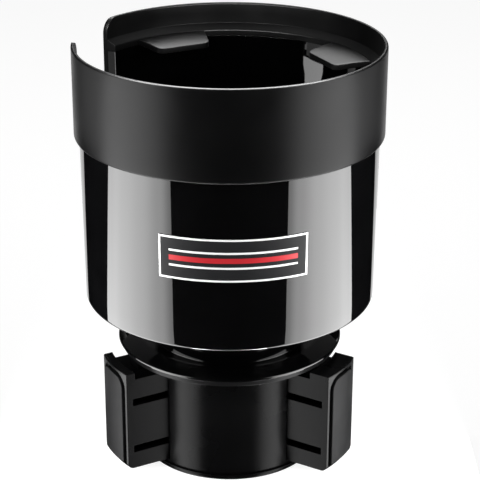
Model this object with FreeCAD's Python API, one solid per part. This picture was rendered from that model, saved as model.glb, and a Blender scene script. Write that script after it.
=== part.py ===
import FreeCAD, Part
import math
import os
from FreeCAD import Vector

# Cup holder adapter: a wide drink cup on a base whose three jaws spread to grip a car's cup holder.
# Millimetres, +Z up, origin at the middle of the base's underside, front of the cup towards -Y.
# An azimuth is counted from the front, positive towards +X.

# Heights of the main levels
TOTAL_HEIGHT = 153.5
CUP_BASE_Z = 61.0
FLANGE_Z = 43.4

# Cup wall and floor
CUP_RADIUS_TOP = 52.5
CUP_TAPER = 0.8
CUP_WALL = 2.8
CUP_FLOOR = 3.0
CUP_CORNER = 1.5
CUP_INNER_CORNER = 3.0

# Soft collar with its lip and fingers
COLLAR_WALL = 1.5
COLLAR_HEIGHT = 32.0
COLLAR_EDGE = 1.0
COLLAR_GAP = 0.1
LIP_DEPTH = 9.7
LIP_THICK = 2.0
LIP_FILLET = 2.2
FINGER_COUNT = 4
FINGER_SPAN = 30.5
FINGER_REACH = 36.0
FINGER_DROOP = 1.0
FINGER_THICK = 2.0
FINGER_CORNER = 2.0
FINGER_ROOT = 48.5

# Slot for a mug's handle
HANDLE_AZIMUTH = -107.0
HANDLE_WIDTH = 27.0
HANDLE_DEPTH = 52.5
HANDLE_FLARE = 5.5

# Label on the front of the cup
LABEL_AZIMUTH = 3.0
LABEL_SPAN = 61.3
LABEL_LOW_Z = 86.5
LABEL_HEIGHT = 14.5
LABEL_THICK = 0.25
LABEL_GAP = 0.03

# Rubber mat inside the cup
MAT_GAP = 0.4
MAT_THICK = 2.0
MAT_EDGE = 0.6

# Neck and flange under the cup
NECK_RADIUS = 27.5
NECK_WALL = 2.8
NECK_FILLET = 0.4
MOAT_WIDTH = 5.0
MOAT_DEPTH = 1.6
MOAT_EDGE = 0.6
FLANGE_RADIUS = 40.5
FLANGE_FLOOR = 2.6
FLANGE_FALL = 1.3
FLANGE_EDGE = 0.7

# Scroll that drives the jaws
SCROLL_RADIUS = 39.3
SCROLL_PLATE = 1.6
SCROLL_PITCH = 12.0
SCROLL_RIB = 2.4
SCROLL_RIB_HEIGHT = 2.5
SCROLL_INNER = 15.7
SCROLL_LEAD = 7.0
POST_CIRCLE = 19.0
POST_RADIUS = 3.2
POST_GAP = 0.2

# Jaws in their spread position
JAW_NAMES = ("left", "right", "back")
JAW_AZIMUTHS = (-60.0, 60.0, 180.0)
JAW_RADIUS = 47.3
JAW_HALF_WIDTH = 9.45
JAW_LOW_Z = 3.5
JAW_WALL = 2.0
JAW_FRONT = 3.3
JAW_DECK = 2.2
JAW_FLOOR = 1.5
JAW_INNER = 20.5
JAW_ROUND = 2.2
JAW_TOP_EDGE = 0.4
JAW_TRAVEL = 11.0
TOOTH_HALF_WIDTH = 3.5
GROOVE_WIDTH = 5.0
FIRST_GROOVE = 41.5
WINDOW_LOW_Z = (9.9, 28.6)
WINDOW_HEIGHT = 2.7

# Rubber pads let into the jaws
PAD_RECESS = 1.2
PAD_PROUD = 0.5
PAD_FRAME = 1.05
PAD_GROOVE = 1.2
PAD_CORNER = 4.0
PAD_LOW_RISE = 0.9

# Base under the jaws
CORE_RADIUS = 31.5
CORE_WALL = 2.0
CORE_FLOOR = 1.2
HUB_RADIUS = 7.0
SHOULDER_RADIUS = 8.3
PLATE_RADIUS = 32.3
PLATE_THICK = 2.0
PLATE_ROUND = 1.2
BOSS_CIRCLE = 23.0
BOSS_RADIUS = 3.6

# Clearances between pieces that move
SIDE_GAP = 0.25
FACE_GAP = 0.3
RUN_GAP = 0.05

# Fasteners
SCREW_RADIUS = 1.5
SCREW_HEAD = 3.0
SCREW_HEAD_DEPTH = 1.5
SCREW_SEAT = 0.1
SCREW_GRIP = 10.0
WASHER_RADIUS = 11.0
WASHER_THICK = 1.5
PAN_HEAD_HEIGHT = 2.2

# Sizes worked out from the ones above
CENTRE = Vector(0, 0, 0)
UP = Vector(0, 0, 1)
SCROLL_Z = FLANGE_Z - SCROLL_PLATE
RIB_LOW_Z = SCROLL_Z - SCROLL_RIB_HEIGHT
DECK_Z = RIB_LOW_Z - FACE_GAP
JAW_TOP_Z = SCROLL_Z - FACE_GAP - RUN_GAP
CORE_TOP_Z = DECK_Z
CORE_FLOOR_Z = JAW_LOW_Z - FACE_GAP
PLATE_TOP_Z = CORE_FLOOR_Z - CORE_FLOOR
CHANNEL_HALF_WIDTH = JAW_HALF_WIDTH + SIDE_GAP
JAW_PLATE_X = JAW_RADIUS - JAW_FRONT
FLANGE_TOP_Z = FLANGE_Z + FLANGE_FLOOR
HUB_TOP_Z = FLANGE_TOP_Z + FACE_GAP
CUP_RADIUS_BASE = CUP_RADIUS_TOP - CUP_TAPER
CUP_FLOOR_Z = CUP_BASE_Z + CUP_FLOOR
COLLAR_INNER = CUP_RADIUS_TOP + COLLAR_GAP
COLLAR_RADIUS = COLLAR_INNER + COLLAR_WALL
LIP_Z = TOTAL_HEIGHT - LIP_DEPTH
CUP_TOP_Z = LIP_Z - LIP_THICK - COLLAR_GAP
THIRDS = (0.0, 120.0, 240.0)


def arc_point(centre_x, centre_z, radius, degrees):
    angle = math.radians(degrees)
    return (centre_x + radius * math.cos(angle), centre_z + radius * math.sin(angle))


def xz_face(start, *steps):
    """Face in the XZ plane. A step is a point, or a (through, end) pair for an arc."""
    edges = []
    here = Vector(start[0], 0, start[1])
    for step in steps + (start,):
        if isinstance(step[0], tuple):
            through, end = [Vector(point[0], 0, point[1]) for point in step]
            edges.append(Part.Arc(here, through, end).toShape())
        else:
            end = Vector(step[0], 0, step[1])
            edges.append(Part.makeLine(here, end))
        here = end
    return Part.Face(Part.Wire(edges))


def spun(face, degrees=360.0):
    return face.revolve(CENTRE, UP, degrees)


def rod(radius, low, high, x=0.0):
    return Part.makeCylinder(radius, high - low, Vector(x, 0, low))


def block(x_low, x_high, half_width, z_low, z_high):
    corner = Vector(x_low, -half_width, z_low)
    return Part.makeBox(x_high - x_low, 2 * half_width, z_high - z_low, corner)


def radial_prism(face, near, far):
    """Stand a face of (sideways, z) points across the X axis and push it outwards."""
    across = face.copy()
    across.rotate(CENTRE, UP, 90)
    across.translate(Vector(near, 0, 0))
    return across.extrude(Vector(far - near, 0, 0))


def at_azimuth(shape, azimuth):
    turned = shape.copy()
    turned.rotate(CENTRE, UP, azimuth - 90.0)
    return turned


def around(shape, azimuths):
    return [at_azimuth(shape, azimuth) for azimuth in azimuths]


def fused(shapes):
    return shapes[0].multiFuse(shapes[1:]).removeSplitter()


def cup_radius(z):
    """Outer radius of the drafted cup wall."""
    low = CUP_BASE_Z + CUP_CORNER
    share = (z - low) / (CUP_TOP_Z - low)
    return CUP_RADIUS_BASE + share * (CUP_RADIUS_TOP - CUP_RADIUS_BASE)


def handle_cutter():
    """U-shaped slot, open at the rim, whose upper corners flare into the rim."""
    half = HANDLE_WIDTH / 2
    bottom = TOTAL_HEIGHT - HANDLE_DEPTH
    turn = TOTAL_HEIGHT - HANDLE_FLARE
    wide = half + HANDLE_FLARE
    above = TOTAL_HEIGHT + HANDLE_FLARE
    profile = xz_face(
        (-half, bottom + half),
        ((0, bottom), (half, bottom + half)),
        (half, turn),
        (arc_point(wide, turn, HANDLE_FLARE, 135), (wide, TOTAL_HEIGHT)),
        (wide, above),
        (-wide, above),
        (-wide, TOTAL_HEIGHT),
        (arc_point(-wide, turn, HANDLE_FLARE, 45), (-half, turn)),
    )
    near = CUP_RADIUS_BASE - 2 * CUP_WALL
    far = COLLAR_RADIUS + CUP_WALL
    return at_azimuth(radial_prism(profile, near, far), HANDLE_AZIMUTH)


def cup_body():
    """Glossy cup with drafted walls, rounded foot, handle slot and three screw seats."""
    corner_z = CUP_BASE_Z + CUP_CORNER
    outer = cup_radius(corner_z)
    corner_x = outer - CUP_CORNER
    inner_z = CUP_FLOOR_Z + CUP_INNER_CORNER
    inner = cup_radius(inner_z) - CUP_WALL
    inner_x = inner - CUP_INNER_CORNER
    shell = spun(xz_face(
        (0, CUP_BASE_Z),
        (corner_x, CUP_BASE_Z),
        (arc_point(corner_x, corner_z, CUP_CORNER, -45), (outer, corner_z)),
        (cup_radius(CUP_TOP_Z), CUP_TOP_Z),
        (cup_radius(CUP_TOP_Z) - CUP_WALL, CUP_TOP_Z),
        (inner, inner_z),
        (arc_point(inner_x, inner_z, CUP_INNER_CORNER, -45), (inner_x, CUP_FLOOR_Z)),
        (0, CUP_FLOOR_Z),
    ))
    seat = screw_seat(CUP_FLOOR_Z, -1).fuse(rod(SCREW_RADIUS + POST_GAP, CUP_BASE_Z, CUP_FLOOR_Z))
    seat.translate(Vector(POST_CIRCLE, 0, 0))
    return shell.cut(around(seat, THIRDS) + [handle_cutter()])


def finger():
    """Drooping flexible finger along +X."""
    tip_top = LIP_Z - FINGER_DROOP
    tip_low = tip_top - FINGER_THICK
    root_low = LIP_Z - FINGER_THICK
    middle = (FINGER_ROOT + FINGER_REACH) / 2
    sag = FINGER_DROOP / 4
    wall = COLLAR_INNER + COLLAR_WALL / 2
    strip = xz_face(
        (wall, LIP_Z),
        (FINGER_ROOT, LIP_Z),
        ((middle, LIP_Z - sag), (FINGER_REACH, tip_top)),
        (FINGER_REACH, tip_low),
        ((middle, root_low - sag), (FINGER_ROOT, root_low)),
        (wall, root_low),
    )
    strip.translate(Vector(0, -wall, 0))
    sheet = strip.extrude(Vector(0, 2 * wall, 0))
    half_width = wall * math.tan(math.radians(FINGER_SPAN / 2))
    corners = [CENTRE, Vector(wall, -half_width, 0), Vector(wall, half_width, 0), CENTRE]
    sector = Part.Face(Part.makePolygon(corners)).extrude(UP * TOTAL_HEIGHT)
    leaf = sheet.common(sector).common(rod(wall, 0, TOTAL_HEIGHT))
    tips = [edge for edge in leaf.Edges if is_tip_corner(edge)]
    return leaf.makeFillet(FINGER_CORNER, tips)


def is_tip_corner(edge):
    """True for the two short upright edges at a finger's inner corners."""
    ends = [vertex.Point for vertex in edge.Vertexes]
    at_tip = all(abs(point.x - FINGER_REACH) < COLLAR_GAP for point in ends)
    upright = abs(edge.tangentAt(edge.FirstParameter).z) > math.cos(math.radians(1))
    return at_tip and upright


def grip_collar():
    """Soft collar over the cup's rim, with a lip and fingers that hold the drink."""
    low = TOTAL_HEIGHT - COLLAR_HEIGHT
    crown = COLLAR_WALL / 2
    middle = COLLAR_INNER + crown
    crown_z = TOTAL_HEIGHT - crown
    edge_x = COLLAR_RADIUS - COLLAR_EDGE
    edge_z = low + COLLAR_EDGE
    fillet_x = COLLAR_INNER - LIP_FILLET
    fillet_z = LIP_Z + LIP_FILLET
    lip_low = LIP_Z - LIP_THICK
    lip_x = CUP_RADIUS_TOP - CUP_WALL
    ring = spun(xz_face(
        (COLLAR_INNER, low),
        (edge_x, low),
        (arc_point(edge_x, edge_z, COLLAR_EDGE, -45), (COLLAR_RADIUS, edge_z)),
        (COLLAR_RADIUS, crown_z),
        ((middle, TOTAL_HEIGHT), (COLLAR_INNER, crown_z)),
        (COLLAR_INNER, fillet_z),
        (arc_point(fillet_x, fillet_z, LIP_FILLET, -45), (fillet_x, LIP_Z)),
        (lip_x, LIP_Z),
        (lip_x, lip_low),
        (COLLAR_INNER, lip_low),
    ))
    step = 360.0 / FINGER_COUNT
    azimuths = [HANDLE_AZIMUTH + step * (index + 0.5) for index in range(FINGER_COUNT)]
    return fused([ring] + around(finger(), azimuths)).cut(handle_cutter())


def front_label():
    """Thin printed strip that follows the drafted wall."""
    top = LABEL_LOW_Z + LABEL_HEIGHT
    back_low = cup_radius(LABEL_LOW_Z) + LABEL_GAP
    back_top = cup_radius(top) + LABEL_GAP
    strip = spun(xz_face(
        (back_low, LABEL_LOW_Z),
        (back_low + LABEL_THICK, LABEL_LOW_Z),
        (back_top + LABEL_THICK, top),
        (back_top, top),
    ), LABEL_SPAN)
    return at_azimuth(strip, LABEL_AZIMUTH - LABEL_SPAN / 2)


def floor_mat():
    """Rubber mat that covers the screws in the cup's floor."""
    radius = CUP_RADIUS_BASE - CUP_WALL - CUP_INNER_CORNER - MAT_GAP
    mat = rod(radius, CUP_FLOOR_Z, CUP_FLOOR_Z + MAT_THICK)
    top_edges = [edge for edge in mat.Edges if edge.BoundBox.ZMin > CUP_FLOOR_Z + MAT_THICK / 2]
    return mat.makeFillet(MAT_EDGE, top_edges)


def neck_flange():
    """Hollow neck in a shallow moat, on a cone-shaped flange that hides the scroll."""
    rim_z = FLANGE_TOP_Z - FLANGE_FALL
    edge_x = FLANGE_RADIUS - FLANGE_EDGE
    edge_z = rim_z - FLANGE_EDGE
    moat_x = NECK_RADIUS + MOAT_WIDTH
    moat_z = FLANGE_TOP_Z - MOAT_DEPTH
    round_x = moat_x + MOAT_EDGE
    round_z = FLANGE_TOP_Z - MOAT_EDGE
    fillet_x = NECK_RADIUS + NECK_FILLET
    fillet_z = moat_z + NECK_FILLET
    bore = HUB_RADIUS + FACE_GAP
    shell = spun(xz_face(
        (bore, FLANGE_Z),
        (edge_x, FLANGE_Z),
        (FLANGE_RADIUS, edge_z),
        (arc_point(edge_x, edge_z, FLANGE_EDGE, 45), (edge_x, rim_z)),
        (round_x, FLANGE_TOP_Z),
        (arc_point(round_x, round_z, MOAT_EDGE, 135), (moat_x, round_z)),
        (moat_x, moat_z),
        (fillet_x, moat_z),
        (arc_point(fillet_x, fillet_z, NECK_FILLET, -135), (NECK_RADIUS, fillet_z)),
        (NECK_RADIUS, CUP_BASE_Z),
        (NECK_RADIUS - NECK_WALL, CUP_BASE_Z),
        (NECK_RADIUS - NECK_WALL, FLANGE_TOP_Z),
        (bore, FLANGE_TOP_Z),
    ))
    hole = rod(POST_RADIUS + POST_GAP, FLANGE_Z, FLANGE_TOP_Z, POST_CIRCLE)
    return shell.cut(around(hole, THIRDS))


def scroll_radius(degrees):
    """Middle of the spiral rib. The rib winds inwards as the angle grows."""
    return FIRST_GROOVE - SCROLL_PITCH * (degrees + 150.0) / 360.0


def scroll_rib():
    """Spiral rib under the plate, from just past the back jaw to its inner end."""
    back_angle = JAW_AZIMUTHS[2] - 90.0
    start = back_angle - SCROLL_LEAD
    turn = (scroll_radius(start) - SCROLL_INNER) / SCROLL_PITCH * 360.0
    steps = int(math.ceil(turn / 15.0))
    rails = []
    for side in (-0.5, 0.5):
        points = []
        for index in range(steps + 1):
            degrees = start + turn * index / steps
            radius = scroll_radius(degrees) + side * SCROLL_RIB
            angle = math.radians(degrees)
            points.append(Vector(radius * math.cos(angle), radius * math.sin(angle), RIB_LOW_Z))
        curve = Part.BSplineCurve()
        curve.interpolate(points)
        rails.append((curve.toShape(), points[0], points[-1]))
    inner, outer = rails
    ends = [Part.makeLine(inner[2], outer[2]), Part.makeLine(outer[1], inner[1])]
    outline = Part.Wire(Part.__sortEdges__([inner[0], outer[0]] + ends))
    return Part.Face(outline).extrude(UP * (SCROLL_RIB_HEIGHT + SCROLL_PLATE / 2))


def scroll_plate():
    """Plate with the spiral rib below and three tall screw posts above."""
    bore = rod(HUB_RADIUS + RUN_GAP, SCROLL_Z, FLANGE_Z)
    plate = rod(SCROLL_RADIUS, SCROLL_Z, FLANGE_Z).cut(bore)
    post = rod(POST_RADIUS, SCROLL_Z, CUP_BASE_Z, POST_CIRCLE)
    pilot = rod(SCREW_RADIUS + RUN_GAP, FLANGE_Z, CUP_BASE_Z, POST_CIRCLE)
    solid = fused([plate, scroll_rib()] + around(post, THIRDS))
    return solid.cut(around(pilot, THIRDS))


def screw_seat(face_z, direction):
    """Countersink that opens at face_z; direction is the way the screw points."""
    mouth = SCREW_HEAD + SCREW_SEAT
    depth = SCREW_HEAD_DEPTH + SCREW_SEAT
    return Part.makeCone(mouth, SCREW_RADIUS, depth, Vector(0, 0, face_z), UP * direction)


def flat_screw(face_z, tip_z):
    """Countersunk screw whose head lies just under face_z and whose tip is at tip_z."""
    direction = 1 if tip_z > face_z else -1
    head_z = face_z + direction * SCREW_SEAT
    head = Part.makeCone(SCREW_HEAD, SCREW_RADIUS, SCREW_HEAD_DEPTH, Vector(0, 0, head_z), UP * direction)
    shank = Part.makeCylinder(SCREW_RADIUS, abs(tip_z - head_z), Vector(0, 0, head_z), UP * direction)
    return head.fuse(shank).removeSplitter()


def cup_screws():
    """Screws that pull the cup, the neck and the scroll together."""
    screw = flat_screw(CUP_FLOOR_Z, CUP_BASE_Z - SCREW_GRIP)
    screw.translate(Vector(POST_CIRCLE, 0, 0))
    return Part.makeCompound(around(screw, THIRDS))


def base_screws():
    """Screws that close the base plate onto the core."""
    screw = flat_screw(0.0, PLATE_TOP_Z + SCREW_GRIP)
    screw.translate(Vector(BOSS_CIRCLE, 0, 0))
    return Part.makeCompound(around(screw, THIRDS))


def base_plate():
    """Round plate that the part stands on."""
    edge_x = PLATE_RADIUS - PLATE_ROUND
    disc = spun(xz_face(
        (0, 0),
        (edge_x, 0),
        (arc_point(edge_x, PLATE_ROUND, PLATE_ROUND, -45), (PLATE_RADIUS, PLATE_ROUND)),
        (PLATE_RADIUS, PLATE_TOP_Z),
        (0, PLATE_TOP_Z),
    ))
    seat = screw_seat(0.0, 1).fuse(rod(SCREW_RADIUS + POST_GAP, 0, PLATE_TOP_Z))
    seat.translate(Vector(BOSS_CIRCLE, 0, 0))
    return disc.cut(around(seat, THIRDS))


def core_lugs():
    """Small keys on the channel walls that run in a jaw's side windows, along +X."""
    near = JAW_INNER + JAW_WALL + JAW_TRAVEL / 3
    far = CORE_RADIUS - CORE_WALL
    reach = CHANNEL_HALF_WIDTH + CORE_WALL / 2
    inner = JAW_HALF_WIDTH - JAW_WALL + FACE_GAP
    lugs = []
    for window_z in WINDOW_LOW_Z:
        key = block(near, far, reach, window_z + FACE_GAP, window_z + WINDOW_HEIGHT - FACE_GAP)
        lugs.append(key.cut(block(near, far, inner, window_z, window_z + WINDOW_HEIGHT)))
    return fused(lugs)


def base_core():
    """Drum with three radial channels for the jaws, hollow pillars and the pivot hub."""
    drum = rod(CORE_RADIUS, PLATE_TOP_Z, CORE_TOP_Z)
    channel = block(0, CORE_RADIUS * 2, CHANNEL_HALF_WIDTH, CORE_FLOOR_Z, CORE_TOP_Z)
    keep_out = block(0, CORE_RADIUS * 2, CHANNEL_HALF_WIDTH + CORE_WALL, 0, CORE_TOP_Z)
    pocket_top = CORE_TOP_Z - CORE_WALL
    pockets = rod(CORE_RADIUS - CORE_WALL, PLATE_TOP_Z, pocket_top).cut(around(keep_out, JAW_AZIMUTHS))
    shell = drum.cut(around(channel, JAW_AZIMUTHS) + [pockets])
    boss = rod(BOSS_RADIUS, PLATE_TOP_Z, pocket_top + CORE_WALL / 2, BOSS_CIRCLE)
    shoulder = rod(SHOULDER_RADIUS, PLATE_TOP_Z, SCROLL_Z - FACE_GAP)
    hub = rod(HUB_RADIUS, PLATE_TOP_Z, HUB_TOP_Z)
    solid = fused([shell, shoulder, hub] + around(boss, THIRDS) + around(core_lugs(), JAW_AZIMUTHS))
    pilot = rod(SCREW_RADIUS + RUN_GAP, PLATE_TOP_Z, PLATE_TOP_Z + SCREW_GRIP + CORE_WALL, BOSS_CIRCLE)
    pivot = rod(SCREW_RADIUS + RUN_GAP, HUB_TOP_Z - SCREW_GRIP - CORE_WALL, HUB_TOP_Z)
    return solid.cut(around(pilot, THIRDS) + [pivot])


def pivot_washer():
    """Washer that keeps the turning cup down on the hub."""
    disc = rod(WASHER_RADIUS, HUB_TOP_Z, HUB_TOP_Z + WASHER_THICK)
    return disc.cut(rod(SCREW_RADIUS + POST_GAP, HUB_TOP_Z, HUB_TOP_Z + WASHER_THICK))


def pivot_screw():
    """Pan-head screw on the pivot."""
    seat = HUB_TOP_Z + WASHER_THICK
    edge_x = SCREW_HEAD - SCREW_HEAD_DEPTH / 2
    top = seat + PAN_HEAD_HEIGHT
    tip = HUB_TOP_Z - SCREW_GRIP
    corner = SCREW_HEAD_DEPTH / 2
    return spun(xz_face(
        (0, tip),
        (SCREW_RADIUS, tip),
        (SCREW_RADIUS, seat),
        (SCREW_HEAD, seat),
        (SCREW_HEAD, top - corner),
        (arc_point(edge_x, top - corner, corner, 45), (edge_x, top)),
        (0, top),
    ))


def jaw_round(grow):
    """Round body that a jaw's outer face is cut from, grown by an offset."""
    radius = JAW_RADIUS + grow
    low = JAW_LOW_Z - grow
    corner = JAW_ROUND + grow
    top_x = radius - JAW_TOP_EDGE
    top_z = JAW_TOP_Z - JAW_TOP_EDGE
    return spun(xz_face(
        (0, low),
        (radius - corner, low),
        (arc_point(radius - corner, low + corner, corner, -45), (radius, low + corner)),
        (radius, top_z),
        (arc_point(top_x, top_z, JAW_TOP_EDGE, 45), (top_x, JAW_TOP_Z)),
        (0, JAW_TOP_Z),
    ))


def pad_prism(inset):
    """Upright rounded window in the jaw's face, inset from the jaw's edges."""
    half = JAW_HALF_WIDTH - inset
    low = JAW_LOW_Z + PAD_LOW_RISE + inset - PAD_FRAME
    top = JAW_TOP_Z - inset
    corner = PAD_CORNER + PAD_FRAME + PAD_GROOVE - inset
    face = xz_face(
        (-half, low),
        (half, low),
        (half, top - corner),
        (arc_point(half - corner, top - corner, corner, 45), (half - corner, top)),
        (-half + corner, top),
        (arc_point(-half + corner, top - corner, corner, 135), (-half, top - corner)),
    )
    return radial_prism(face, JAW_PLATE_X + PAD_PROUD, JAW_RADIUS + JAW_FRONT)


def jaw_skin(inset, grow):
    """Layer over the pad's recess floor, up to an offset from the jaw's face."""
    return jaw_round(grow).cut(jaw_round(-PAD_RECESS)).common(pad_prism(inset))


def pad():
    """Rubber pad along +X, standing a little proud of the jaw's face."""
    return jaw_skin(PAD_FRAME + PAD_GROOVE, PAD_PROUD)


def jaw_teeth(outer_groove):
    """Full-width outer block and narrow inner rack teeth above the jaw's deck."""
    layer = jaw_round(0).common(block(JAW_INNER, JAW_RADIUS, JAW_HALF_WIDTH, DECK_Z, JAW_TOP_Z))
    half = GROOVE_WIDTH / 2
    outer = layer.cut(rod(outer_groove + half, DECK_Z, JAW_TOP_Z))
    rack = layer.common(block(JAW_INNER, JAW_RADIUS, TOOTH_HALF_WIDTH, DECK_Z, JAW_TOP_Z))
    rack = rack.common(rod(outer_groove - half, DECK_Z, JAW_TOP_Z))
    inner_groove = outer_groove - SCROLL_PITCH
    ring = rod(inner_groove + half, DECK_Z, JAW_TOP_Z).cut(rod(inner_groove - half, DECK_Z, JAW_TOP_Z))
    return [outer] + rack.cut(ring).Solids


def jaw(outer_groove):
    """Hollow jaw along +X: curved face plate, side walls with windows, deck and rack teeth."""
    solid = jaw_round(0).common(block(JAW_INNER, JAW_RADIUS, JAW_HALF_WIDTH, JAW_LOW_Z, DECK_Z))
    deck_low = DECK_Z - JAW_DECK
    inside = JAW_HALF_WIDTH - JAW_WALL
    floor_z = JAW_LOW_Z + JAW_FLOOR
    solid = solid.cut(block(JAW_INNER, JAW_PLATE_X, inside, floor_z, deck_low))
    web = block(JAW_INNER, JAW_PLATE_X, JAW_WALL / 2, floor_z, deck_low)
    solid = fused([solid, web] + jaw_teeth(outer_groove))
    windows = []
    for window_z in WINDOW_LOW_Z:
        top = window_z + WINDOW_HEIGHT
        wide = block(JAW_INNER + JAW_WALL * 2, JAW_PLATE_X, JAW_HALF_WIDTH, window_z, top)
        windows.append(wide.cut(block(JAW_INNER, JAW_RADIUS, inside, window_z, top)))
    return solid.cut(windows + [jaw_skin(PAD_FRAME, PAD_PROUD)])


def main():
    pieces = {
        "cup_body": cup_body(),
        "grip_collar": grip_collar(),
        "front_label": front_label(),
        "floor_mat": floor_mat(),
        "neck_flange": neck_flange(),
        "scroll_plate": scroll_plate(),
        "cup_screws": cup_screws(),
        "base_core": base_core(),
        "base_plate": base_plate(),
        "base_screws": base_screws(),
        "pivot_washer": pivot_washer(),
        "pivot_screw": pivot_screw(),
    }
    for index, name in enumerate(JAW_NAMES):
        azimuth = JAW_AZIMUTHS[index]
        groove = FIRST_GROOVE - index * SCROLL_PITCH / len(JAW_NAMES)
        pieces["jaw_" + name] = at_azimuth(jaw(groove), azimuth)
        pieces["pad_" + name] = at_azimuth(pad(), azimuth)
    os.makedirs("parts", exist_ok=True)
    for name, shape in pieces.items():
        shape.exportStep("parts/" + name + ".step")


main()
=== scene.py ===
import bpy
import bmesh
import math
from mathutils import Matrix, Vector


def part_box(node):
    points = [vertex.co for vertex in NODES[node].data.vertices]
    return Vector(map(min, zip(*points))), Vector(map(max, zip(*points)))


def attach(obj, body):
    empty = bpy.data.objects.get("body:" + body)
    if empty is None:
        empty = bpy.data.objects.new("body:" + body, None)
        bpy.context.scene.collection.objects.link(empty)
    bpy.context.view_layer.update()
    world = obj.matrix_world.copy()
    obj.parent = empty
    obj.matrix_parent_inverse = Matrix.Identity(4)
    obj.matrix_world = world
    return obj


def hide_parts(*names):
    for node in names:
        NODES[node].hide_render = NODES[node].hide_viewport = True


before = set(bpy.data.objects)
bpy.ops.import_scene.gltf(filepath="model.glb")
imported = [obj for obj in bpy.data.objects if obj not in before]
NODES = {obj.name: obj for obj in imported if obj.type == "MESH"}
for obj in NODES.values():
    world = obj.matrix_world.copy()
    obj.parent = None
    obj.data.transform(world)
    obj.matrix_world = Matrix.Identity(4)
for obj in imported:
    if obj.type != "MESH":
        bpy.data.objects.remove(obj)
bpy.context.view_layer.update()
MM = 0.001

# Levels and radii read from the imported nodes, in metres
CUP_LOW, CUP_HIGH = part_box("cup_body")
COLLAR_LOW, COLLAR_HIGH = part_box("grip_collar")
NECK_LOW, NECK_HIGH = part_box("neck_flange")
LABEL_LOW, LABEL_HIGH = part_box("front_label")
MAT_LOW, MAT_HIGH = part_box("floor_mat")
RIM_Z = COLLAR_HIGH.z
COLLAR_RADIUS = COLLAR_HIGH.x

# Cup wall, as in the CAD part
CUP_RADIUS_TOP = 52.5 * MM
CUP_RADIUS_BASE = 51.7 * MM
CUP_WALL = 2.8 * MM
CUP_CORNER = 1.5 * MM
CUP_INNER_CORNER = 3.0 * MM
CUP_FLOOR = 3.0 * MM
CUP_RIM_ROUND = 0.3 * MM
CUP_RIM_INNER_ROUND = 0.02 * MM
CUP_SLOT_ROUND = 0.35 * MM

# Collar and fingers; the lip slopes down from the wall to its edge
COLLAR_WALL = 1.5 * MM
COLLAR_EDGE = 1.0 * MM
COLLAR_INNER_EDGE = 0.2 * MM
COLLAR_RIM_ROUND = COLLAR_WALL * 0.48
COLLAR_SLOT_ROUND = 0.5 * MM
LIP_DEPTH = 9.7 * MM
LIP_THICK = 2.0 * MM
LIP_SLOPE = 2.1 * MM
LIP_BLEND = 0.1 * MM
LIP_ROUND = 0.55 * MM
LIP_UNDER_ROUND = 0.05 * MM
FINGER_SPAN = math.radians(30.5)
FINGER_REACH = 36.0 * MM
FINGER_ROOT = 48.5 * MM
FINGER_DROOP = 1.0 * MM
FINGER_THICK = 2.0 * MM
FINGER_CORNER = 2.0 * MM
FINGER_BEND = 1.6
FINGER_ROUND = 0.55 * MM
FINGER_ROUND_ANGLE = 50.0
FINGER_ROUND_STEPS = 4
FINGER_AZIMUTHS = (-152.0, -62.0, 28.0, 118.0)

# Handle slot
HANDLE_AZIMUTH = -107.0
HANDLE_HALF = 13.5 * MM
HANDLE_DEPTH = 52.5 * MM
HANDLE_FLARE = 5.5 * MM

# Neck and flange
NECK_RADIUS = 27.5 * MM
NECK_WALL = 2.8 * MM
FLANGE_RADIUS = NECK_HIGH.x
FLANGE_FLOOR = 2.6 * MM
FLANGE_FALL = 1.3 * MM
FLANGE_UNDERCUT = 0.7 * MM
FLANGE_UNDER_ROUND = 0.1 * MM
FLANGE_RIM_ROUND = 0.55 * MM
MOAT_WIDTH = 5.0 * MM
MOAT_DEPTH = 1.6 * MM
MOAT_EDGE = 0.6 * MM
MOAT_FILLET = 0.2 * MM
NECK_FILLET = 0.4 * MM
HUB_BORE = 7.3 * MM

# Floor mat, with ring grooves whose sides slope
MAT_EDGE_ROUND = 0.6 * MM
MAT_BORDER = 4.0 * MM
GROOVE_PITCH = 6.0 * MM
GROOVE_WIDTH = 1.5 * MM
GROOVE_DEPTH = 0.5 * MM
GROOVE_SLOPE = 0.3 * MM
GROOVE_EDGE_ROUND = 0.15 * MM
GROOVE_FLOOR_ROUND = 0.1 * MM

# Label: a field set to the photo's height and width, and ink on it
LABEL_AZIMUTH = 3.0
LABEL_HALF_SPAN = 55.8 / 2
LABEL_BORDER = 0.65 * MM
LABEL_LIFT = 0.28 * MM
LABEL_THICK = 0.25 * MM
LABEL_RAISE = (0.35 * MM, 1.0 * MM)
PRINT_LIFT = 0.31 * MM
PRINT_THICK = 0.03 * MM
STRIPE_MARGIN = 4.0
RED_STRIPE_HALF = 0.9 * MM
WHITE_STRIPE = (2.3 * MM, 3.0 * MM)
# Widest step of a strip along the wall in degrees, and the radius that counts as on the axis
PATCH_STEP = 1.2
ON_AXIS = 1e-7


def direction(azimuth, radius=1.0):
    """Point on a circle; the azimuth is counted from -Y towards +X, in degrees."""
    angle = math.radians(azimuth)
    return Vector((radius * math.sin(angle), -radius * math.cos(angle), 0.0))


def cup_radius(z):
    low = CUP_LOW.z + CUP_CORNER
    share = (z - low) / (CUP_HIGH.z - low)
    return CUP_RADIUS_BASE + share * (CUP_RADIUS_TOP - CUP_RADIUS_BASE)


def new_object(name, bm):
    mesh = bpy.data.meshes.new(name)
    bmesh.ops.recalc_face_normals(bm, faces=bm.faces)
    bm.to_mesh(mesh)
    bm.free()
    piece = bpy.data.objects.new(name, mesh)
    bpy.context.scene.collection.objects.link(piece)
    return piece


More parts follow.
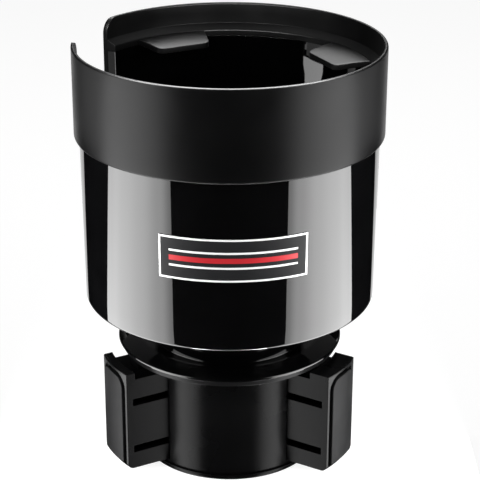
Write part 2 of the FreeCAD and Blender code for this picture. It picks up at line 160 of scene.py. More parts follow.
def rounded(corners, steps):
    """Closed outline from (r, z, fillet radius) corners, with arcs in place of rounded corners."""
    outline = []
    count = len(corners)
    for index, (x, z, radius) in enumerate(corners):
        here = Vector((x, z))
        if radius <= 0.0:
            outline.append(here)
            continue
        before = Vector(corners[index - 1][:2]) - here
        after = Vector(corners[(index + 1) % count][:2]) - here
        before.normalize()
        after.normalize()
        half = before.angle(after) / 2
        centre = here + (before + after).normalized() * (radius / math.sin(half))
        start = here + before * (radius / math.tan(half)) - centre
        sweep = math.pi - 2 * half
        side = -1.0 if before.x * after.y - before.y * after.x > 0 else 1.0
        for step in range(steps + 1):
            turn = side * sweep * step / steps
            cosine, sine = math.cos(turn), math.sin(turn)
            across = start.x * cosine - start.y * sine
            along = start.x * sine + start.y * cosine
            outline.append(centre + Vector((across, along)))
    return outline


def divided(outline, longest):
    """Add points so that no straight run of the outline is longer than a limit."""
    points = []
    for index, point in enumerate(outline):
        following = outline[(index + 1) % len(outline)]
        parts = max(1, math.ceil((following - point).length / longest))
        points += [point.lerp(following, part / parts) for part in range(parts)]
    return points


def lathe(name, outline, steps):
    """Turn a closed outline of (r, z) points about the Z axis."""
    bm = bmesh.new()
    columns = []
    for step in range(steps):
        around = direction(360.0 * step / steps)
        column = []
        for index, point in enumerate(outline):
            if point.x < ON_AXIS:
                shared = columns[0][index] if columns else bm.verts.new((0, 0, point.y))
                column.append(shared)
            else:
                column.append(bm.verts.new((around.x * point.x, around.y * point.x, point.y)))
        columns.append(column)
    for step in range(steps):
        left, right = columns[step], columns[(step + 1) % steps]
        for index in range(len(outline)):
            after = (index + 1) % len(outline)
            corners = []
            for vert in (left[index], right[index], right[after], left[after]):
                if vert not in corners:
                    corners.append(vert)
            if len(corners) > 2:
                bm.faces.new(corners)
    return new_object(name, bm)


def extruded(name, outline, start, end):
    """Prism between two copies of a closed loop, given by two functions of an outline point."""
    bm = bmesh.new()
    low = [bm.verts.new(start(point)) for point in outline]
    high = [bm.verts.new(end(point)) for point in outline]
    bm.faces.new(low)
    bm.faces.new(list(reversed(high)))
    for index in range(len(outline)):
        after = (index + 1) % len(outline)
        bm.faces.new((low[index], low[after], high[after], high[index]))
    return new_object(name, bm)


def apply_modifiers(piece):
    """Bake the modifier stack into the piece's own mesh."""
    graph = bpy.context.evaluated_depsgraph_get()
    mesh = bpy.data.meshes.new_from_object(piece.evaluated_get(graph))
    piece.modifiers.clear()
    piece.data = mesh


def cut(piece, cutter):
    """Take the cutter's shape out of a piece."""
    modifier = piece.modifiers.new("cut", "BOOLEAN")
    modifier.operation = "DIFFERENCE"
    modifier.solver = "EXACT"
    modifier.object = cutter
    apply_modifiers(piece)


def soften(piece, width, angle=40.0, segments=3):
    """Round the sharp edges, then shade smooth across all gentle ones."""
    modifier = piece.modifiers.new("edges", "BEVEL")
    modifier.width = width
    modifier.segments = segments
    modifier.limit_method = "ANGLE"
    modifier.angle_limit = math.radians(angle)
    modifier.use_clamp_overlap = True
    apply_modifiers(piece)
    smooth(piece)


def smooth(piece, angle=35.0):
    piece.data.polygons.foreach_set("use_smooth", [True] * len(piece.data.polygons))
    piece.data.set_sharp_from_angle(angle=math.radians(angle))


def arc(x, y, radius, start, end, steps):
    """Points along an arc, both ends included; the angles are in radians."""
    angles = [start + (end - start) * step / steps for step in range(steps + 1)]
    return [Vector((x + radius * math.cos(a), y + radius * math.sin(a))) for a in angles]


def handle_cutter():
    """U-shaped cutter, open at the rim, whose upper corners flare."""
    bottom = RIM_Z - HANDLE_DEPTH
    turn = RIM_Z - HANDLE_FLARE
    wide = HANDLE_HALF + HANDLE_FLARE
    above = RIM_Z + HANDLE_FLARE
    outline = arc(0.0, bottom + HANDLE_HALF, HANDLE_HALF, math.pi, 2 * math.pi, steps=24)
    outline += arc(wide, turn, HANDLE_FLARE, math.pi, math.pi / 2, steps=10)
    outline += [Vector((wide, above)), Vector((-wide, above))]
    outline += arc(-wide, turn, HANDLE_FLARE, math.pi / 2, 0.0, steps=10)
    out = direction(HANDLE_AZIMUTH)
    side = Vector((-out.y, out.x, 0.0))

    def face_at(radius):
        return lambda point: out * radius + side * point.x + Vector((0, 0, point.y))

    inside = face_at(CUP_RADIUS_BASE - 3 * CUP_WALL)
    outside = face_at(COLLAR_RADIUS + CUP_WALL)
    return extruded("handle_cutter", outline, inside, outside)


def make_cup():
    low, floor = CUP_LOW.z, CUP_LOW.z + CUP_FLOOR
    outline = rounded([
        (0.0, low, 0.0),
        (cup_radius(low), low, CUP_CORNER),
        (cup_radius(CUP_HIGH.z), CUP_HIGH.z, CUP_RIM_ROUND),
        (cup_radius(CUP_HIGH.z) - CUP_WALL, CUP_HIGH.z, CUP_RIM_INNER_ROUND),
        (cup_radius(floor) - CUP_WALL, floor, CUP_INNER_CORNER),
        (0.0, floor, 0.0),
    ], steps=12)
    return lathe("cup_shell", divided(outline, longest=6 * MM), steps=256)


def make_collar():
    inner = COLLAR_RADIUS - COLLAR_WALL
    lip = CUP_RADIUS_TOP - CUP_WALL
    lip_z = RIM_Z - LIP_DEPTH
    outline = rounded([
        (inner, COLLAR_LOW.z, COLLAR_INNER_EDGE),
        (COLLAR_RADIUS, COLLAR_LOW.z, COLLAR_EDGE),
        (COLLAR_RADIUS, RIM_Z, COLLAR_RIM_ROUND),
        (inner, RIM_Z, COLLAR_RIM_ROUND),
        (inner, lip_z + LIP_SLOPE, LIP_BLEND),
        (lip, lip_z, LIP_ROUND),
        (lip, lip_z - LIP_THICK, LIP_UNDER_ROUND),
        (inner, lip_z - LIP_THICK, 0.0),
    ], steps=6)
    return lathe("collar_ring", divided(outline, longest=5 * MM), steps=256)


def finger_width(x):
    """Half-width of a finger at a distance from the axis, with rounded inner corners."""
    wide = x * math.tan(FINGER_SPAN / 2)
    into = x - FINGER_REACH
    if into >= FINGER_CORNER:
        return wide
    return wide - FINGER_CORNER + math.sqrt(FINGER_CORNER ** 2 - (FINGER_CORNER - into) ** 2)


def finger_height(x):
    """Top of a finger: level at the wall, drooping towards its inner edge."""
    share = max(0.0, (FINGER_ROOT - x) / (FINGER_ROOT - FINGER_REACH))
    return RIM_Z - LIP_DEPTH - FINGER_DROOP * share ** FINGER_BEND


def make_finger(name, azimuth):
    """Drooping finger from the collar's wall to its straight inner edge."""
    out = direction(azimuth)
    side = Vector((-out.y, out.x, 0.0))
    wall = COLLAR_RADIUS - COLLAR_WALL / 2
    rows, columns = 22, 16
    crowding = 1.5
    bm = bmesh.new()
    layers = []
    for drop in (0.0, FINGER_THICK):
        layer = []
        for row in range(rows + 1):
            share = (row / rows) ** crowding
            line = []
            for column in range(columns + 1):
                across = 2 * column / columns - 1
                x = FINGER_REACH + (wall - FINGER_REACH) * share
                y = across * finger_width(x)
                x = FINGER_REACH + (math.sqrt(wall ** 2 - y ** 2) - FINGER_REACH) * share
                spot = out * x + side * y + Vector((0, 0, finger_height(x) - drop))
                line.append(bm.verts.new(spot))
            layer.append(line)
        layers.append(layer)
    for layer in layers:
        for row in range(rows):
            for column in range(columns):
                bm.faces.new((layer[row][column], layer[row][column + 1],
                              layer[row + 1][column + 1], layer[row + 1][column]))
    rim = [(0, column) for column in range(columns)]
    rim += [(row, columns) for row in range(rows)]
    rim += [(rows, columns - column) for column in range(columns)]
    rim += [(rows - row, 0) for row in range(rows)]
    for index, (row, column) in enumerate(rim):
        next_row, next_column = rim[(index + 1) % len(rim)]
        bm.faces.new((layers[0][row][column], layers[0][next_row][next_column],
                      layers[1][next_row][next_column], layers[1][row][column]))
    finger = new_object(name, bm)
    soften(finger, FINGER_ROUND, FINGER_ROUND_ANGLE, FINGER_ROUND_STEPS)
    return finger


def make_neck():
    """Neck in a shallow moat, on a cone-shaped flange."""
    top = NECK_LOW.z + FLANGE_FLOOR
    rim = top - FLANGE_FALL
    moat = NECK_RADIUS + MOAT_WIDTH
    outline = rounded([
        (HUB_BORE, NECK_LOW.z, 0.0),
        (FLANGE_RADIUS - FLANGE_UNDERCUT, NECK_LOW.z, 0.0),
        (FLANGE_RADIUS, rim - FLANGE_UNDERCUT, FLANGE_UNDER_ROUND),
        (FLANGE_RADIUS, rim, FLANGE_RIM_ROUND),
        (moat, top, MOAT_EDGE),
        (moat, top - MOAT_DEPTH, MOAT_FILLET),
        (NECK_RADIUS, top - MOAT_DEPTH, NECK_FILLET),
        (NECK_RADIUS, NECK_HIGH.z, 0.0),
        (NECK_RADIUS - NECK_WALL, NECK_HIGH.z, 0.0),
        (NECK_RADIUS - NECK_WALL, top, 0.0),
        (HUB_BORE, top, 0.0),
    ], steps=8)
    return lathe("neck_and_flange", outline, steps=224)


def make_mat():
    """Ribbed rubber mat with shallow ring grooves."""
    radius, top = MAT_HIGH.x, MAT_HIGH.z
    corners = [(0.0, MAT_LOW.z, 0.0), (radius, MAT_LOW.z, 0.0), (radius, top, MAT_EDGE_ROUND)]
    edge = radius - MAT_BORDER
    while edge > GROOVE_PITCH:
        far = edge - GROOVE_WIDTH
        corners += [
            (edge, top, GROOVE_EDGE_ROUND),
            (edge - GROOVE_SLOPE, top - GROOVE_DEPTH, GROOVE_FLOOR_ROUND),
            (far + GROOVE_SLOPE, top - GROOVE_DEPTH, GROOVE_FLOOR_ROUND),
            (far, top, GROOVE_EDGE_ROUND),
        ]
        edge -= GROOVE_PITCH
    corners.append((0.0, top, 0.0))
    return lathe("ribbed_mat", rounded(corners, steps=3), steps=128)


def wall_patch(name, left, right, low, high, lift, thick):
    """Thin strip that follows the cup's drafted wall between two azimuths and two heights."""
    steps = max(2, int((right - left) / PATCH_STEP))
    bm = bmesh.new()
    skins = []
    for height in (lift, lift - thick):
        skin = []
        for step in range(steps + 1):
            azimuth = left + (right - left) * step / steps
            column = []
            for z in (low, high):
                spot = direction(azimuth, cup_radius(z) + height)
                column.append(bm.verts.new((spot.x, spot.y, z)))
            skin.append(column)
        skins.append(skin)
    front, back = skins
    for step in range(steps):
        bm.faces.new((front[step][0], front[step + 1][0], front[step + 1][1], front[step][1]))
        bm.faces.new((back[step][0], back[step][1], back[step + 1][1], back[step + 1][0]))
        bm.faces.new((front[step][0], back[step][0], back[step + 1][0], front[step + 1][0]))
        bm.faces.new((front[step][1], front[step + 1][1], back[step + 1][1], back[step][1]))
    for step in (0, steps):
        bm.faces.new((front[step][0], front[step][1], back[step][1], back[step][0]))
    patch = new_object(name, bm)
    smooth(patch)
    return patch


# Texture that all the materials share: broad mottling, fine grain, edges rounded in shading
MOTTLE_SCALE = 60.0
MOTTLE_DETAIL = 4.0
MOTTLE_RANGE = (0.3, 0.7)
GRAIN_DETAIL = 3.0
GRAIN_DEPTH = 0.1 * MM
EDGE_SAMPLES = 6


def tree_of(material):
    material.use_nodes = True
    nodes = material.node_tree.nodes
    nodes.clear()
    return nodes, material.node_tree.links


def combine(nodes, links, operation, first, second):
    """Math node; the second value is a socket or a number."""
    node = nodes.new("ShaderNodeMath")
    node.operation = operation
    links.new(first, node.inputs[0])
    if isinstance(second, float):
        node.inputs[1].default_value = second
    else:
        links.new(second, node.inputs[1])
    return node.outputs[0]


def plastic(name, colour, roughness, specular, bump, grain, spread, edge=0.0):
    """Moulded plastic, rubber or ink: uneven colour and gloss, fine grain, softened edges."""
    material = bpy.data.materials.new(name)
    nodes, links = tree_of(material)
    output = nodes.new("ShaderNodeOutputMaterial")
    shader = nodes.new("ShaderNodeBsdfPrincipled")
    shader.inputs["Specular IOR Level"].default_value = specular
    links.new(shader.outputs["BSDF"], output.inputs["Surface"])
    where = nodes.new("ShaderNodeTexCoord")
    broad = nodes.new("ShaderNodeTexNoise")
    broad.inputs["Scale"].default_value = MOTTLE_SCALE
    broad.inputs["Detail"].default_value = MOTTLE_DETAIL
    links.new(where.outputs["Object"], broad.inputs["Vector"])
    tint = nodes.new("ShaderNodeValToRGB")
    tint.color_ramp.elements[0].position, tint.color_ramp.elements[1].position = MOTTLE_RANGE
    tint.color_ramp.elements[0].color = [part * (1 - spread) for part in colour] + [1.0]
    tint.color_ramp.elements[1].color = [part * (1 + spread) for part in colour] + [1.0]
    links.new(broad.outputs["Fac"], tint.inputs["Fac"])
    links.new(tint.outputs["Color"], shader.inputs["Base Color"])
    gloss = nodes.new("ShaderNodeMapRange")
    gloss.inputs["From Min"].default_value = MOTTLE_RANGE[0]
    gloss.inputs["From Max"].default_value = MOTTLE_RANGE[1]
    gloss.inputs["To Min"].default_value = roughness * (1 - spread)
    gloss.inputs["To Max"].default_value = roughness * (1 + spread)
    links.new(broad.outputs["Fac"], gloss.inputs["Value"])
    links.new(gloss.outputs["Result"], shader.inputs["Roughness"])
    fine = nodes.new("ShaderNodeTexNoise")
    fine.inputs["Scale"].default_value = grain
    fine.inputs["Detail"].default_value = GRAIN_DETAIL
    links.new(where.outputs["Object"], fine.inputs["Vector"])
    relief = nodes.new("ShaderNodeBump")
    relief.inputs["Strength"].default_value = bump
    relief.inputs["Distance"].default_value = GRAIN_DEPTH
    links.new(fine.outputs["Fac"], relief.inputs["Height"])
    if edge > 0.0:
        corner = nodes.new("ShaderNodeBevel")
        corner.samples = EDGE_SAMPLES
        corner.inputs["Radius"].default_value = edge
        links.new(corner.outputs["Normal"], relief.inputs["Normal"])
    links.new(relief.outputs["Normal"], shader.inputs["Normal"])
    return material


def metal(*values):
    """Plated metal, with the same texture as the plastics."""
    material = plastic(*values)
    material.node_tree.nodes["Principled BSDF"].inputs["Metallic"].default_value = 1.0
    return material


def dress(piece, material):
    """Give a piece one material."""
    piece.data.materials.clear()
    piece.data.materials.append(material)


def dress_node(node, material):
    for slot in NODES[node].material_slots:
        slot.material = material


def place(piece, body, slot, material, *nodes):
    """Finish a new piece: material and body, and hide the nodes that it stands for. The slot
    argument is not used.
    """
    dress(piece, material)
    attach(piece, body)
    if nodes:
        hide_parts(*nodes)


# Colour, roughness, specular level, grain strength and scale, spread, edge radius
GLOSS = plastic("gloss_black_plastic", (0.0012, 0.0012, 0.0013), 0.03, 0.5, 0.02, 260.0, 0.25)
SOFT = plastic("soft_black_collar", (0.0008, 0.0008, 0.0009), 0.36, 0.1, 0.12, 1400.0, 0.1)
MATTE = plastic("matte_black_plastic", (0.002, 0.002, 0.0022), 0.4, 0.14, 0.15, 1500.0, 0.12,
                edge=0.25 * MM)
SATIN = plastic("satin_black_plastic", (0.0008, 0.0008, 0.0009), 0.29, 0.08, 0.1, 1100.0, 0.12,
                edge=0.3 * MM)
PAD = plastic("grey_rubber_pad", (0.002, 0.002, 0.0022), 0.5, 0.07, 0.35, 1700.0, 0.14,
              edge=0.5 * MM)
MAT = plastic("black_rubber_mat", (0.006, 0.006, 0.006), 0.65, 0.3, 0.35, 1500.0, 0.15)
STEEL = metal("plated_steel", (0.55, 0.55, 0.56), 0.32, 0.5, 0.15, 1500.0, 0.12)
FIELD = plastic("label_charcoal", (0.011, 0.0113, 0.012), 0.45, 0.12, 0.03, 900.0, 0.12)
WHITE = plastic("label_white_ink", (0.82, 0.82, 0.81), 0.35, 0.4, 0.03, 900.0, 0.03)
RED = plastic("label_red_ink", (0.42, 0.014, 0.02), 0.35, 0.4, 0.03, 900.0, 0.08)


def build_cup():
    """Cup, collar and fingers, neck and mat, which all turn together."""
    cutter = handle_cutter()
    cup = make_cup()
    cut(cup, cutter)
    soften(cup, CUP_SLOT_ROUND)
    place(cup, "cup", "gloss_black", GLOSS, "cup_body")
    collar = make_collar()
    cut(collar, cutter)
    soften(collar, COLLAR_SLOT_ROUND)
    place(collar, "cup", "soft_black", SOFT, "grip_collar")
    bpy.data.objects.remove(cutter)
    for index, azimuth in enumerate(FINGER_AZIMUTHS):
        place(make_finger("collar_finger_%d" % index, azimuth), "cup", "soft_black", SOFT)
    neck = make_neck()
    smooth(neck)
    place(neck, "cup", "gloss_black", GLOSS, "neck_flange")
    mat = make_mat()
    smooth(mat)
    place(mat, "cup", "rubber_black", MAT, "floor_mat")


def build_label():
    """Framed strip with plain stripes, in thin printed layers."""
    left, right = LABEL_AZIMUTH - LABEL_HALF_SPAN, LABEL_AZIMUTH + LABEL_HALF_SPAN
    low, high = LABEL_LOW.z + LABEL_RAISE[0], LABEL_HIGH.z + LABEL_RAISE[1]
    field = wall_patch("label_field", left, right, low, high, LABEL_LIFT, LABEL_THICK)
    place(field, "cup", "label_print", FIELD, "front_label")
    degrees = math.degrees(LABEL_BORDER / CUP_RADIUS_TOP)
    borders = (
        ("label_frame_low", left, right, low, low + LABEL_BORDER),
        ("label_frame_high", left, right, high - LABEL_BORDER, high),
        ("label_frame_left", left, left + degrees, low + LABEL_BORDER, high - LABEL_BORDER),
        ("label_frame_right", right - degrees, right, low + LABEL_BORDER, high - LABEL_BORDER),
    )
    for name, start, end, bottom, top in borders:
        border = wall_patch(name, start, end, bottom, top, PRINT_LIFT, PRINT_THICK)
        place(border, "cup", "label_print", WHITE)
    middle = (low + high) / 2
    near, far = WHITE_STRIPE
    stripes = (
        ("label_stripe_high", middle + near, middle + far, WHITE),
        ("label_stripe_middle", middle - RED_STRIPE_HALF, middle + RED_STRIPE_HALF, RED),
        ("label_stripe_low", middle - far, middle - near, WHITE),
    )
    start, end = left + STRIPE_MARGIN, right - STRIPE_MARGIN
    for name, bottom, top, ink in stripes:
        stripe = wall_patch(name, start, end, bottom, top, PRINT_LIFT, PRINT_THICK)
        place(stripe, "cup", "label_print", ink)


def dress_frame():
    """Materials of the solids that show as they are."""
    for node in ("base_core", "base_plate", "jaw_left", "jaw_right", "jaw_back"):
        dress_node(node, SATIN)
    dress_node("scroll_plate", MATTE)
    for node in ("pad_left", "pad_right", "pad_back"):
        dress_node(node, PAD)
    for node in ("cup_screws", "base_screws", "pivot_screw", "pivot_washer"):
        dress_node(node, STEEL)


# Camera fitted to the photo's ellipses, in metres and degrees
CAMERA_DISTANCE = 0.5428
CAMERA_RISE = 0.1538
CAMERA_PITCH = 22.712
CAMERA_AZIMUTH = 1.5
CAMERA_LENS = 123.19
CAMERA_SHIFT = 0.02175
CAMERA_SENSOR = 36.0
CAMERA_NEAREST = 0.01


def build_camera():
    data = bpy.data.cameras.new("camera")
    data.lens = CAMERA_LENS
    data.sensor_width = CAMERA_SENSOR
    data.shift_x = CAMERA_SHIFT
    data.clip_start = CAMERA_NEAREST
    camera = bpy.data.objects.new("camera", data)
    bpy.context.scene.collection.objects.link(camera)
    spot = direction(CAMERA_AZIMUTH, CAMERA_DISTANCE)
    camera.location = (spot.x, spot.y, RIM_Z + CAMERA_RISE)
    tilt, turn = math.radians(90.0 - CAMERA_PITCH), math.radians(CAMERA_AZIMUTH)
    camera.rotation_euler = (tilt, 0.0, turn)
    bpy.context.scene.camera = camera


def plane(name, size_x, size_y, centre):
    bm = bmesh.new()
    half_x, half_y = size_x / 2, size_y / 2
    spots = ((-half_x, -half_y), (half_x, -half_y), (half_x, half_y), (-half_x, half_y))
    bm.faces.new([bm.verts.new((centre[0] + x, centre[1] + y, centre[2])) for x, y in spots])
    return new_object(name, bm)


def seen_directly(nodes, links):
    """One for camera, glossy and transmission rays, zero for the rest."""
    path = nodes.new("ShaderNodeLightPath").outputs
    first = combine(nodes, links, "MAXIMUM", path["Is Camera Ray"], path["Is Glossy Ray"])
    return combine(nodes, links, "MAXIMUM", first, path["Is Transmission Ray"])


FLOOR_SIZE = 6.0
FLOOR_COLOUR = 0.3
FLOOR_GLOW = 0.86


def build_floor():
    """Floor that is white where it is seen, and still takes the part's shadow."""
    floor = plane("floor", FLOOR_SIZE, FLOOR_SIZE, (0, 0, 0))
    material = bpy.data.materials.new("pale_floor")
    nodes, links = tree_of(material)
    output = nodes.new("ShaderNodeOutputMaterial")
    matte = nodes.new("ShaderNodeBsdfDiffuse")
    matte.inputs["Color"].default_value = (FLOOR_COLOUR, FLOOR_COLOUR, FLOOR_COLOUR, 1.0)
    glow = nodes.new("ShaderNodeEmission")
    strength = combine(nodes, links, "MULTIPLY", seen_directly(nodes, links), FLOOR_GLOW)
    links.new(strength, glow.inputs["Strength"])
    total = nodes.new("ShaderNodeAddShader")
    links.new(matte.outputs[0], total.inputs[0])
    links.new(glow.outputs[0], total.inputs[1])
    links.new(total.outputs[0], output.inputs["Surface"])
    dress(floor, material)


# Side boxes, with dark flags just outside them, set about the camera's own vertical plane.
# Their back edges lean forwards as they rise: the pairs are at the floor and at the top.
# The profiles give the brightness from the front edge (0) to the back edge (1).
SIDE_X = 0.090
SIDE_HEIGHT = 0.26
BOX_FRONT = -0.1193
BOX_BACK = (-0.0004, -0.052)
BOX_LUMINANCE = 8.7
BOX_PROFILE = ((0.0, 0.38), (0.25, 0.71), (0.55, 0.96), (0.7, 1.0), (0.85, 0.95), (1.0, 0.74))
FLAG_BACK = (0.088, -0.016)
# Faint boxes further back, at the height that the collar's ends mirror
COLLAR_BOX_Y = (-0.025, 0.05)
COLLAR_BOX_Z = (0.108, 0.15)
COLLAR_BOX_LUMINANCE = 2.0
COLLAR_BOX_PROFILE = ((0.0, 1.0), (0.3, 0.45), (0.6, 0.1), (1.0, 0.03))
# Sheets in the handle slot: a bright one low down, which the inner wall across from it mirrors,
# and a dim one above it, which the slot's own edge mirrors
SLOT_CARD_RADIUS = CUP_RADIUS_TOP - 1.5 * CUP_WALL
SLOT_CARD_HEIGHT = 12 * MM
SLOT_CARD_LUMINANCE = 4.5
SLOT_FLAG_RADIUS = COLLAR_RADIUS - COLLAR_WALL
SLOT_FLAG_LUMINANCE = 0.6
# Card above the near rim, for the bright line along it
RIM_CARD_Y = (-0.058, -0.02)
RIM_CARD_HALF = 0.075
RIM_CARD_Z = 0.2
RIM_CARD_LUMINANCE = 95.0
# Dark card behind the part, which keeps the flange's ends dark
BACK_FLAG_Y = 0.12
BACK_FLAG_HALF = 0.072
BACK_FLAG_Z = (0.045, 0.135)
DARK_GREY = 0.002
# Mirror on the floor in front, which carries the boxes on downwards for the gloss
MIRROR_SIZE = (1.6, 1.2)
MIRROR_SPOT = (0.0, -0.58, 0.5 * MM)
MIRROR_GREY = 0.95
# The one lamp
LAMP_SPOT = (0.0, 0.25, 0.7)
LAMP_AIM = (0.0, 0.0, 0.1)
LAMP_SIZE = (0.6, 0.4)
LAMP_POWER = 2.0


def hide_from_camera(piece):
    """Leave a card to the reflections, and to the soft light unless that is shut off too."""
    piece.visible_camera = False
    piece.visible_shadow = False
    piece.visible_transmission = False


def dark_card():
    material = bpy.data.materials.new("dark_card")
    nodes, links = tree_of(material)
    output = nodes.new("ShaderNodeOutputMaterial")
    matte = nodes.new("ShaderNodeBsdfDiffuse")
    matte.inputs["Color"].default_value = (DARK_GREY, DARK_GREY, DARK_GREY, 1.0)
    links.new(matte.outputs[0], output.inputs["Surface"])
    return material


def mirror_card():
    material = bpy.data.materials.new("mirror_card")
    nodes, links = tree_of(material)
    output = nodes.new("ShaderNodeOutputMaterial")
    polish = nodes.new("ShaderNodeBsdfGlossy")
    polish.inputs["Color"].default_value = (MIRROR_GREY, MIRROR_GREY, MIRROR_GREY, 1.0)
    polish.inputs["Roughness"].default_value = 0.0
    links.new(polish.outputs[0], output.inputs["Surface"])
    return material


def box_glow(name, profile, luminance):
    """Soft box that follows a profile from front to back and is dark on its back."""
    material = bpy.data.materials.new(name)
    nodes, links = tree_of(material)
    output = nodes.new("ShaderNodeOutputMaterial")
    glow = nodes.new("ShaderNodeEmission")
    where = nodes.new("ShaderNodeUVMap")
    across = nodes.new("ShaderNodeSeparateXYZ")
    links.new(where.outputs["UV"], across.inputs[0])
    ramp = nodes.new("ShaderNodeValToRGB")
    ramp.color_ramp.interpolation = "EASE"
    stops = ramp.color_ramp.elements
    while len(stops) < len(profile):
        stops.new(0.5)
    for stop, (position, level) in zip(stops, profile):
        stop.position = position
        stop.color = (level, level, level, 1.0)
    links.new(across.outputs["X"], ramp.inputs["Fac"])
    links.new(ramp.outputs["Color"], glow.inputs["Color"])
    facing = nodes.new("ShaderNodeNewGeometry")
    strength = nodes.new("ShaderNodeMapRange")
    strength.inputs["To Min"].default_value = luminance
    strength.inputs["To Max"].default_value = 0.0
    links.new(facing.outputs["Backfacing"], strength.inputs["Value"])
    links.new(strength.outputs["Result"], glow.inputs["Strength"])
    links.new(glow.outputs[0], output.inputs["Surface"])
    return material


def turned(x, y, z):
    """Point given about the camera's own vertical plane."""
    return Matrix.Rotation(math.radians(CAMERA_AZIMUTH), 3, "Z") @ Vector((x, y, z))


def upright(name, x, front, back, heights, material):
    """Upright sheet beside the part that faces it, with u running from front to back."""
    rows = 16
    bm = bmesh.new()
    layer = bm.loops.layers.uv.new("across")
    lines = []
    for row in range(rows + 1):
        share = row / rows
        far = back[0] + (back[1] - back[0]) * share
        z = heights[0] + (heights[1] - heights[0]) * share
        lines.append([bm.verts.new(turned(x, y, z)) for y in (front, far)])
    for low, high in zip(lines, lines[1:]):
        face = bm.faces.new((low[0], low[1], high[1], high[0]))
        for loop, across in zip(face.loops, (0.0, 1.0, 1.0, 0.0)):
            loop[layer].uv = (across, 0.5)
        face.normal_update()
        if face.normal.x * x > 0:
            face.normal_flip()
    mesh = bpy.data.meshes.new(name)
    bm.to_mesh(mesh)
    bm.free()
    piece = bpy.data.objects.new(name, mesh)
    bpy.context.scene.collection.objects.link(piece)
    dress(piece, material)
    hide_from_camera(piece)
    return piece


def even_glow(name, luminance):
    material = bpy.data.materials.new(name)
    nodes, links = tree_of(material)
    output = nodes.new("ShaderNodeOutputMaterial")
    glow = nodes.new("ShaderNodeEmission")
    glow.inputs["Strength"].default_value = luminance
    links.new(glow.outputs[0], output.inputs["Surface"])
    return material


def sheet(name, corners, material):
    """Flat card that only the gloss sees."""
    bm = bmesh.new()
    bm.faces.new([bm.verts.new(corner) for corner in corners])
    piece = new_object(name, bm)
    dress(piece, material)
    hide_from_camera(piece)
    piece.visible_diffuse = False


def oblong(half, low, high):
    """Corners of an upright or level rectangle, as pairs."""
    return ((-half, low), (half, low), (half, high), (-half, high))


def slot_sheet(name, radius, low, high, luminance):
    """Sheet across the handle slot."""
    middle = direction(HANDLE_AZIMUTH, radius)
    along = direction(HANDLE_AZIMUTH + 90.0)
    spots = oblong(HANDLE_HALF - MM, low, high)
    corners = [middle + along * side + Vector((0, 0, z)) for side, z in spots]
    sheet(name, corners, even_glow(name, luminance))


def build_lights():
    glow = box_glow("soft_box", BOX_PROFILE, BOX_LUMINANCE)
    faint = box_glow("collar_box", COLLAR_BOX_PROFILE, COLLAR_BOX_LUMINANCE)
    dark = dark_card()
    heights = (0.0, SIDE_HEIGHT)
    front, back = COLLAR_BOX_Y
    for side, sign in (("left", -1.0), ("right", 1.0)):
        upright(side + "_box", sign * SIDE_X, BOX_FRONT, BOX_BACK, heights, glow)
        flag = upright(side + "_flag", sign * (SIDE_X + MM), BOX_FRONT, FLAG_BACK, heights, dark)
        flag.visible_diffuse = False
        inside = sign * (SIDE_X - MM)
        upright(side + "_collar_box", inside, front, (back, back), COLLAR_BOX_Z, faint)
    low = RIM_Z - HANDLE_DEPTH
    middle = low + SLOT_CARD_HEIGHT
    slot_sheet("slot_card", SLOT_CARD_RADIUS, low, middle, SLOT_CARD_LUMINANCE)
    slot_sheet("slot_flag", SLOT_FLAG_RADIUS, middle, RIM_Z, SLOT_FLAG_LUMINANCE)
    corners = [turned(x, y, RIM_CARD_Z) for x, y in oblong(RIM_CARD_HALF, *RIM_CARD_Y)]
    sheet("rim_card", corners, even_glow("rim_card", RIM_CARD_LUMINANCE))
    corners = [(x, BACK_FLAG_Y, z) for x, z in oblong(BACK_FLAG_HALF, *BACK_FLAG_Z)]
    sheet("back_flag", corners, dark)
    card = plane("front_card", *MIRROR_SIZE, MIRROR_SPOT)
    dress(card, mirror_card())
    card.visible_diffuse = False
    hide_from_camera(card)
    area_light("top_box", LAMP_SPOT, LAMP_AIM, LAMP_SIZE, LAMP_POWER)


def area_light(name, spot, aim, size, power):
    data = bpy.data.lights.new(name, "AREA")
    data.shape = "RECTANGLE"
    data.size, data.size_y = size
    data.energy = power
    lamp = bpy.data.objects.new(name, data)
    bpy.context.scene.collection.objects.link(lamp)
    lamp.location = spot
    towards = Vector(aim) - Vector(spot)
    lamp.rotation_euler = towards.to_track_quat("-Z", "Y").to_euler()
    lamp.visible_camera = False


# Brightness of the sky: for the gloss behind and in front of the part, and for the soft light.
# The part behind fades in over these spans of a direction's y and z, and of its x in size.
BACK_SKY = 24.0
FRONT_SKY = 0.02
SOFT_SKY = 0.12
BACK_FADE_Y = (0.1, 0.8)
BACK_FADE_Z = (0.3, 0.85)
BACK_FADE_X = (0.26, 0.16)


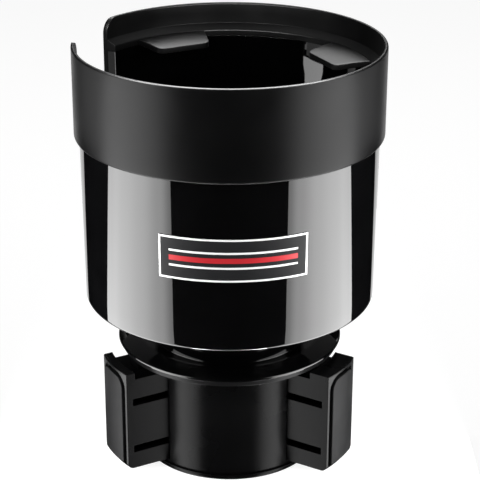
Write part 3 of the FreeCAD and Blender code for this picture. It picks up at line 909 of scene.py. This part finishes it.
def fade(nodes, links, value, span):
    """Smooth step from 0 to 1 as the value goes from the span's first end to its second."""
    step = nodes.new("ShaderNodeMapRange")
    step.interpolation_type = "SMOOTHSTEP"
    step.inputs["From Min"].default_value = min(span)
    step.inputs["From Max"].default_value = max(span)
    step.inputs["To Min"].default_value = 0.0 if span[0] < span[1] else 1.0
    step.inputs["To Max"].default_value = 1.0 if span[0] < span[1] else 0.0
    links.new(value, step.inputs["Value"])
    return step.outputs["Result"]


def build_world():
    """White for the camera; for the gloss, dark in front and bright behind."""
    world = bpy.data.worlds.new("studio")
    world.use_nodes = True
    nodes = world.node_tree.nodes
    links = world.node_tree.links
    nodes.clear()
    output = nodes.new("ShaderNodeOutputWorld")
    sky = nodes.new("ShaderNodeBackground")
    where = nodes.new("ShaderNodeTexCoord")
    part = nodes.new("ShaderNodeSeparateXYZ")
    links.new(where.outputs["Generated"], part.inputs[0])
    aside = combine(nodes, links, "ABSOLUTE", part.outputs["X"], 0.0)
    behind = fade(nodes, links, part.outputs["Y"], BACK_FADE_Y)
    above = fade(nodes, links, part.outputs["Z"], BACK_FADE_Z)
    narrow = fade(nodes, links, aside, BACK_FADE_X)
    back = combine(nodes, links, "MULTIPLY", behind, above)
    back = combine(nodes, links, "MULTIPLY", back, narrow)
    back = combine(nodes, links, "MULTIPLY", back, BACK_SKY)
    total = combine(nodes, links, "ADD", back, FRONT_SKY)
    path = nodes.new("ShaderNodeLightPath").outputs
    gloss = nodes.new("ShaderNodeMix")
    gloss.inputs["A"].default_value = SOFT_SKY
    links.new(path["Is Glossy Ray"], gloss.inputs["Factor"])
    links.new(total, gloss.inputs["B"])
    clear = combine(nodes, links, "MAXIMUM", path["Is Camera Ray"], path["Is Transmission Ray"])
    seen = nodes.new("ShaderNodeMix")
    seen.inputs["B"].default_value = 1.0
    links.new(clear, seen.inputs["Factor"])
    links.new(gloss.outputs["Result"], seen.inputs["A"])
    links.new(seen.outputs["Result"], sky.inputs["Strength"])
    sky.inputs["Color"].default_value = (1.0, 1.0, 1.0, 1.0)
    links.new(sky.outputs[0], output.inputs["Surface"])
    bpy.context.scene.world = world


build_cup()
build_label()
dress_frame()
build_camera()
build_floor()
build_lights()
build_world()
bpy.context.scene.view_settings.view_transform = "Standard"
